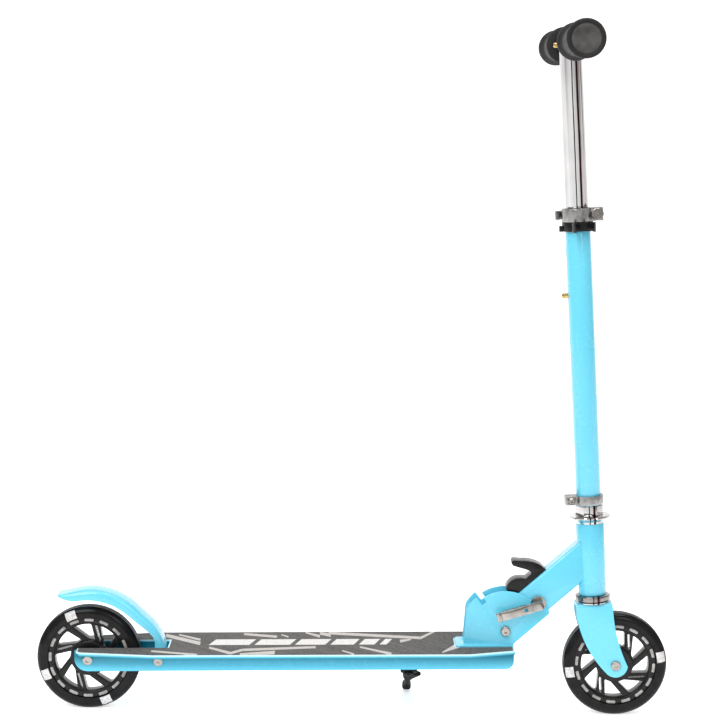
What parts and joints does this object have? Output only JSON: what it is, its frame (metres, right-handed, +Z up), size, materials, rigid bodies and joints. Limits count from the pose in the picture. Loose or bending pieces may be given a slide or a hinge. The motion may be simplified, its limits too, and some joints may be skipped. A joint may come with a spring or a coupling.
{
  "type": "kick scooter",
  "caption": "Child's folding kick scooter with light-up wheels, wide deck, foot brake, kick stand and a height-set T bar.",
  "frame": {"origin": "on the ground, midway along the scooter's length, on its centre plane", "axes": "+X forward, +Z up, +Y to the rider's left"},
  "size_m": [0.73, 0.326, 0.7922],
  "materials": {
    "blue_paint": "gloss",
    "grip_tape": "gritty",
    "chrome": "polished",
    "cast_alloy": "satin",
    "zinc_steel": "satin",
    "smoky_urethane": "gloss",
    "black_nylon": "satin",
    "key_urethane": "satin",
    "light_module": "gloss",
    "black_foam": "matt foam",
    "black_rubber": "matt",
    "brass": "polished"
  },
  "bodies": {
    "deck": {"deck_plate": "blue_paint", "grip_tape": "grip_tape", "deck_channel": "blue_paint", "fold_bracket": "blue_paint", "pivot_bolt": "zinc_steel", "pivot_nut": "zinc_steel", "rear_axle": "zinc_steel", "rear_axle_screw": "zinc_steel", "rear_axle_spacers": "zinc_steel", "brake_bolt": "zinc_steel", "brake_nut": "zinc_steel", "brake_spring": "zinc_steel", "stand_block": "black_nylon", "stand_bolt": "zinc_steel"},
    "rear_wheel": {"rear_tyre": "smoky_urethane", "rear_lights": "light_module", "rear_core": "black_nylon", "rear_keys": "key_urethane", "rear_bearings": "zinc_steel"},
    "brake": {"brake_hood": "blue_paint", "brake_pad": "black_rubber"},
    "stand": {"stand_leg": "black_nylon", "stand_foot": "black_rubber"},
    "neck": {"down_tube": "blue_paint", "head_tube": "blue_paint", "lower_cup": "chrome", "upper_cup": "chrome"},
    "latch": {"latch_bar": "zinc_steel", "latch_washers": "zinc_steel", "latch_nut": "zinc_steel", "latch_handle": "black_nylon"},
    "latch_cam": {"latch_lever": "zinc_steel"},
    "steering": {"fork": "blue_paint", "steerer": "chrome", "crown_race": "chrome", "headset_nut": "chrome", "steering_tube": "blue_paint", "lower_clamp": "cast_alloy", "lower_clamp_bolt": "zinc_steel", "upper_clamp": "cast_alloy", "upper_clamp_bolt": "zinc_steel", "upper_clamp_nut": "zinc_steel", "grip_clip": "black_nylon", "front_axle": "zinc_steel", "front_axle_screw": "zinc_steel", "front_axle_spacers": "zinc_steel"},
    "front_wheel": {"front_tyre": "smoky_urethane", "front_lights": "light_module", "front_core": "black_nylon", "front_keys": "key_urethane", "front_bearings": "zinc_steel"},
    "clamp_cam": {"clamp_lever": "cast_alloy"},
    "bar": {"t_bar": "chrome"},
    "height_press": {"height_button": "brass"},
    "right_handle": {"right_handle_tube": "chrome", "right_grip": "black_foam"},
    "left_handle": {"left_handle_tube": "chrome", "left_grip": "black_foam"},
    "right_press": {"right_button": "brass"},
    "left_press": {"left_button": "brass"}
  },
  "joints": [
    {"name": "rear_wheel_spin", "type": "hinge", "parent": "deck", "child": "rear_wheel", "pos_m": [-0.305, 0, 0.06], "axis": [0, -1, 0], "continuous": true},
    {"name": "front_wheel_spin", "type": "hinge", "parent": "steering", "child": "front_wheel", "pos_m": [0.305, 0, 0.06], "axis": [0, -1, 0], "continuous": true},
    {"name": "foot_brake", "type": "hinge", "parent": "deck", "child": "brake", "pos_m": [-0.22368, 0, 0.05963], "axis": [0, -1, 0], "range_deg": [0, 4], "stiffness_Nm_per_rad": 4, "springref_deg": -8.02},
    {"name": "kick_stand", "type": "hinge", "parent": "deck", "child": "stand", "pos_m": [0.0664, 0.003, 0.0476], "axis": [0, 0.4708, 0.8822], "range_deg": [0, 90]},
    {"name": "fold", "type": "hinge", "parent": "deck", "child": "neck", "pos_m": [0.17663, 0, 0.09901], "axis": [0, -1, 0], "range_deg": [0, 86]},
    {"name": "latch_slide", "type": "slide", "parent": "neck", "child": "latch", "axis": [0.7438, 0, 0.6684], "range_m": [-0.0065, 0]},
    {"name": "latch_lever_turn", "type": "hinge", "parent": "latch", "child": "latch_cam", "pos_m": [0.21367, -0.0222, 0.13229], "axis": [-0.2914, 0, 0.9566], "range_deg": [0, 110]},
    {"name": "steering_turn", "type": "hinge", "parent": "neck", "child": "steering", "pos_m": [0.27525, 0, 0.17826], "axis": [-0.0675, 0, 0.9977], "continuous": true},
    {"name": "clamp_lever_turn", "type": "hinge", "parent": "steering", "child": "clamp_cam", "pos_m": [0.26965, 0.0148, 0.5811], "axis": [-0.0675, 0, 0.9977], "range_deg": [-110, 0]},
    {"name": "bar_height", "type": "slide", "parent": "steering", "child": "bar", "axis": [-0.0675, 0, 0.9977], "range_m": [-0.051, 0.051], "deforming": ["height_button"]},
    {"name": "height_button_press", "type": "slide", "parent": "bar", "child": "height_press", "axis": [0.9977, 0, 0.0675], "range_m": [0, 0.007], "stiffness_N_per_m": 300, "springref_m": -0.004},
    {"name": "right_handle_pull", "type": "slide", "parent": "bar", "child": "right_handle", "axis": [0, -1, 0], "range_m": [0, 0.04], "deforming": ["right_button"]},
    {"name": "left_handle_pull", "type": "slide", "parent": "bar", "child": "left_handle", "axis": [0, 1, 0], "range_m": [0, 0.04], "deforming": ["left_button"]},
    {"name": "right_button_press", "type": "slide", "parent": "right_handle", "child": "right_press", "axis": [0.9977, 0, 0.0675], "range_m": [0, 0.004], "stiffness_N_per_m": 300, "springref_m": -0.004},
    {"name": "left_button_press", "type": "slide", "parent": "left_handle", "child": "left_press", "axis": [0.9977, 0, 0.0675], "range_m": [0, 0.004], "stiffness_N_per_m": 300, "springref_m": -0.004}
  ]
}
